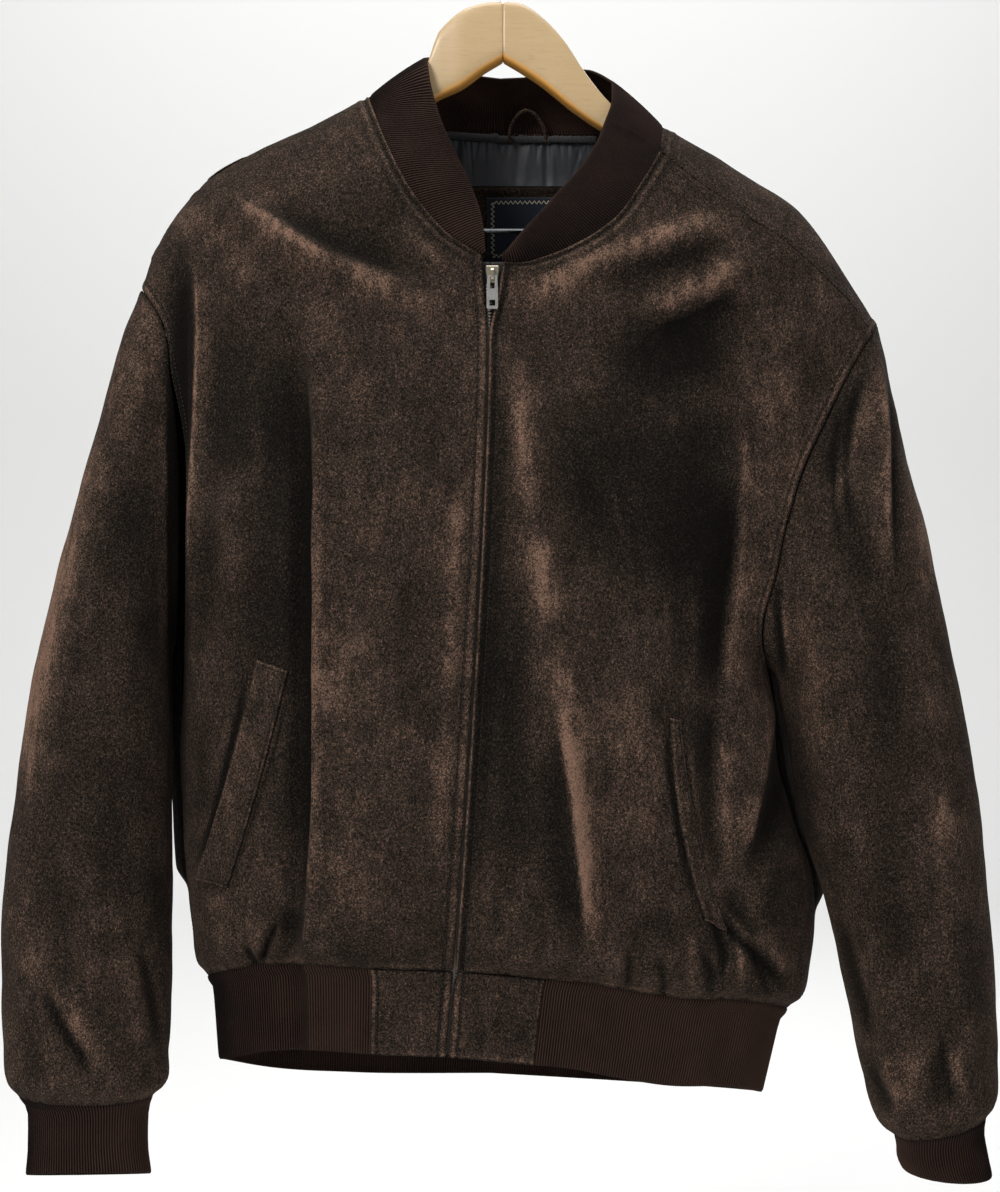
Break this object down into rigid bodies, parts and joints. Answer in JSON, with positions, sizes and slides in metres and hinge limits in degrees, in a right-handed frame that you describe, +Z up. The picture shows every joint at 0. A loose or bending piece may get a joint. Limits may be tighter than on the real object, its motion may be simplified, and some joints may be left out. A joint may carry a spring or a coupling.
{
  "type": "suede jacket on wooden hanger",
  "caption": "Zipped suede bomber jacket with knitted rib collar, cuffs and hem and slanted welt pockets, hanging closed on a contoured wooden hanger with a wire hook and trouser bar",
  "frame": {"origin": "where a rail bears under the top of the hanger's hook", "axes": "+Z up, front of the jacket towards -Y, the wearer's left towards +X"},
  "size_m": [0.7608, 0.1896, 0.9842],
  "materials": {
    "suede": "dark brown napped suede",
    "rib_knit": "dark brown rib knit",
    "satin": "charcoal satin lining",
    "label": "navy woven label",
    "zip_tape": "dark woven tape",
    "zip_metal": "nickel plate",
    "steel_wire": "chrome plated wire",
    "maple": "clear lacquered maple"
  },
  "bodies": {
    "jacket": {"back_facing": "suede", "back_left": "suede", "back_right": "suede", "collar_rib": "rib_knit", "cuff_left": "rib_knit", "cuff_right": "rib_knit", "front_left": "suede", "front_right": "suede", "hanger_bar": "steel_wire", "hanger_hook": "steel_wire", "hanger_left": "maple", "hanger_right": "maple", "hanging_loop": "suede", "hem_rib": "rib_knit", "hem_tab_left": "suede", "hem_tab_right": "suede", "neck_label": "label", "neck_lining": "satin", "neck_piping": "satin", "pocket_welt_left": "suede", "pocket_welt_right": "suede", "sleeve_back_left": "suede", "sleeve_back_right": "suede", "sleeve_front_left": "suede", "sleeve_front_right": "suede", "zip_slider": "zip_metal", "zip_tape_left": "zip_tape", "zip_tape_right": "zip_tape"},
    "pull_tab": {"zip_pull": "zip_metal"}
  },
  "joints": [
    {"name": "zip_pull_hinge", "type": "hinge", "parent": "jacket", "child": "pull_tab", "pos_m": [-0.00798, -0.07245, -0.29229], "axis": [-1, 0, 0], "range_deg": [0, 150]}
  ]
}
